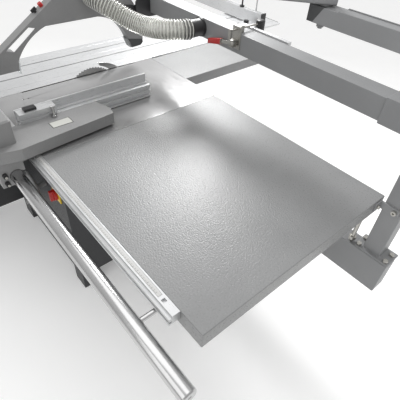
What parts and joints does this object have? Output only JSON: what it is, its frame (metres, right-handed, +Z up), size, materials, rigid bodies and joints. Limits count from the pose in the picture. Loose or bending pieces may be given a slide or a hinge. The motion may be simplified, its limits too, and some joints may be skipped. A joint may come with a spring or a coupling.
{
  "type": "sliding table panel saw",
  "caption": "Panel saw with a long sliding table, crosscut and rip fences, side and outfeed tables, and a post with a boom carrying an extracted blade hood.",
  "frame": {"origin": "centre of the machine's outline, on the floor", "axes": "+Z up, +Y the feed direction along the sliding table, +X from the sliding table to the extension table"},
  "size_m": [2.461, 3.212, 1.464],
  "materials": {
    "anodised": "clear anodised",
    "black_metal": "black satin",
    "black_plastic": "moulded",
    "bright_steel": "ground bar",
    "cast_grey": "painted casting",
    "clear_plastic": "clear strip",
    "dark_paint": "satin powder coat",
    "grey_paint": "orange-peel powder coat",
    "ground_iron": "ground and polished top",
    "hose_plastic": "translucent spiral hose",
    "red_plastic": "moulded",
    "yellow_plastic": "moulded",
    "zinc": "zinc plated"
  },
  "bodies": {
    "frame": {"cabinet": "dark_paint", "slider_stand": "dark_paint", "mains_inlet": "black_plastic", "isolator_plate": "yellow_plastic", "cast_table": "ground_iron", "ext_table": "grey_paint", "outfeed_table": "grey_paint", "scale_rail": "anodised", "guide_bar": "bright_steel", "bar_standoffs": "bright_steel", "base_beam": "grey_paint", "post": "grey_paint", "frame_screws": "zinc", "jack_screw": "zinc", "post_brace": "grey_paint", "boom": "grey_paint", "boom_sleeve": "grey_paint", "boom_bracket": "black_metal", "upper_arm": "grey_paint", "arm_end_block": "black_plastic", "clamp_base": "zinc", "rear_rail": "anodised", "hose_collar": "black_plastic", "hose": "hose_plastic", "slider_base": "anodised", "trunnion_brackets": "dark_paint"},
    "isolator": {"isolator_knob": "red_plastic"},
    "swivel": {"swivel_arm": "grey_paint"},
    "toggle_lever": {"clamp_handle": "red_plastic"},
    "toggle_plunger": {"clamp_arm": "zinc"},
    "sliding_table": {"carriage": "anodised", "carriage_caps": "black_plastic", "fence_mount": "anodised"},
    "crosscut": {"crosscut_fence": "anodised", "fence_caps": "black_plastic", "hold_down_post": "bright_steel"},
    "crosscut_lock": {"mount_lock": "black_plastic"},
    "hold_down": {"hold_down_arm": "black_metal"},
    "cradle": {"tilt_frame": "cast_grey"},
    "arbor_slide": {"arbor_housing": "cast_grey", "riving_knife": "bright_steel"},
    "arbor": {"arbor_shaft": "bright_steel", "main_blade": "bright_steel"},
    "scorer": {"scorer_shaft": "bright_steel", "scoring_blade": "bright_steel"},
    "rise_handwheel": {"rise_wheel": "cast_grey"},
    "tilt_handwheel": {"tilt_wheel": "cast_grey"},
    "rip_head": {"fence_casting": "cast_grey", "profile_clamp": "anodised", "saddle_screws": "black_plastic"},
    "rip_face": {"rip_profile": "anodised"},
    "rip_lever": {"profile_lever": "bright_steel"},
    "rip_lock": {"fence_lock_knob": "black_plastic"},
    "hood": {"hood_shell": "cast_grey", "hood_rear_shield": "black_plastic", "hood_visor": "clear_plastic", "hood_arm": "black_metal", "hood_bolts": "zinc"},
    "hood_red_knob": {"hood_knob": "red_plastic"},
    "hood_wing_screw": {"hood_wing": "black_plastic"}
  },
  "joints": [
    {"name": "sliding_table_travel", "type": "slide", "parent": "frame", "child": "sliding_table", "axis": [0, 1, 0], "range_m": [-1.35, 1.15]},
    {"name": "crosscut_angle", "type": "hinge", "parent": "sliding_table", "child": "crosscut", "pos_m": [-0.4185, 1.348, 0.91], "axis": [0, 0, 1], "range_deg": [0, 45]},
    {"name": "crosscut_lock_turn", "type": "hinge", "parent": "sliding_table", "child": "crosscut_lock", "pos_m": [-0.4185, 1.348, 0.928], "axis": [0, 0, 1], "range_deg": [0, 180]},
    {"name": "hold_down_height", "type": "slide", "parent": "crosscut", "child": "hold_down", "axis": [0, 0, 1], "range_m": [-0.09, 0.03]},
    {"name": "blade_tilt", "type": "hinge", "parent": "frame", "child": "cradle", "pos_m": [-0.3235, 0.143, 0.9], "axis": [0, 1, 0], "range_deg": [0, 45]},
    {"name": "blade_rise", "type": "slide", "parent": "cradle", "child": "arbor_slide", "axis": [0, 0, 1], "range_m": [-0.045, 0.035]},
    {"name": "arbor_spin", "type": "hinge", "parent": "arbor_slide", "child": "arbor", "pos_m": [-0.3235, 0.143, 0.783], "axis": [1, 0, 0], "continuous": true},
    {"name": "scorer_spin", "type": "hinge", "parent": "cradle", "child": "scorer", "pos_m": [-0.3235, -0.089, 0.838], "axis": [1, 0, 0], "continuous": true},
    {"name": "rise_handwheel_turn", "type": "hinge", "parent": "frame", "child": "rise_handwheel", "pos_m": [-0.0285, -0.292, 0.6], "axis": [0, -1, 0], "range_deg": [-4050, 3150]},
    {"name": "tilt_handwheel_turn", "type": "hinge", "parent": "frame", "child": "tilt_handwheel", "pos_m": [-0.2635, -0.292, 0.6], "axis": [0, -1, 0], "range_deg": [0, 10800]},
    {"name": "isolator_turn", "type": "hinge", "parent": "frame", "child": "isolator", "pos_m": [0.0945, -0.302, 0.622], "axis": [0, -1, 0], "range_deg": [0, 90]},
    {"name": "toggle_lever_swing", "type": "hinge", "parent": "frame", "child": "toggle_lever", "pos_m": [0.3305, 0.455, 1.196], "axis": [0, 0, 1], "range_deg": [0, 90]},
    {"name": "toggle_plunger_travel", "type": "slide", "parent": "frame", "child": "toggle_plunger", "axis": [0, 1, 0], "range_m": [0, 0.0101]},
    {"name": "swivel_turn", "type": "hinge", "parent": "frame", "child": "swivel", "pos_m": [0.6665, 0.521, 1.43], "axis": [0, 0, 1], "range_deg": [-40, 60]},
    {"name": "rip_fence_travel", "type": "slide", "parent": "frame", "child": "rip_head", "axis": [1, 0, 0], "range_m": [-0.24, 0.85]},
    {"name": "rip_face_travel", "type": "slide", "parent": "rip_head", "child": "rip_face", "axis": [0, 1, 0], "range_m": [-0.05, 0.25]},
    {"name": "rip_lever_turn", "type": "hinge", "parent": "rip_head", "child": "rip_lever", "pos_m": [0.0605, -0.217, 0.965], "axis": [0, 0, 1], "range_deg": [0, 90]},
    {"name": "rip_lock_turn", "type": "hinge", "parent": "rip_head", "child": "rip_lock", "pos_m": [0.1345, -0.529, 0.887], "axis": [0, 1, 0], "range_deg": [0, 180]},
    {"name": "hood_swing", "type": "hinge", "parent": "frame", "child": "hood", "pos_m": [-0.3235, 0.468, 1.148], "axis": [-1, 0, 0], "range_deg": [0, 12]},
    {"name": "hood_red_knob_turn", "type": "hinge", "parent": "hood", "child": "hood_red_knob", "pos_m": [-0.3235, -0.037, 1.24285], "axis": [0, -0.5535, 0.8329], "range_deg": [0, 180]},
    {"name": "hood_wing_turn", "type": "hinge", "parent": "hood", "child": "hood_wing_screw", "pos_m": [-0.3235, -0.067, 1.22292], "axis": [0, -0.5535, 0.8329], "range_deg": [0, 180]}
  ],
  "couplings": [
    {"joint": "tilt_handwheel_turn", "follows": "blade_tilt", "ratio": 240},
    {"joint": "rise_handwheel_turn", "follows": "blade_rise", "rad_per_m": 1570},
    {"joint": "toggle_plunger_travel", "follows": "toggle_lever_swing", "m_per_rad": 0.0064}
  ]
}
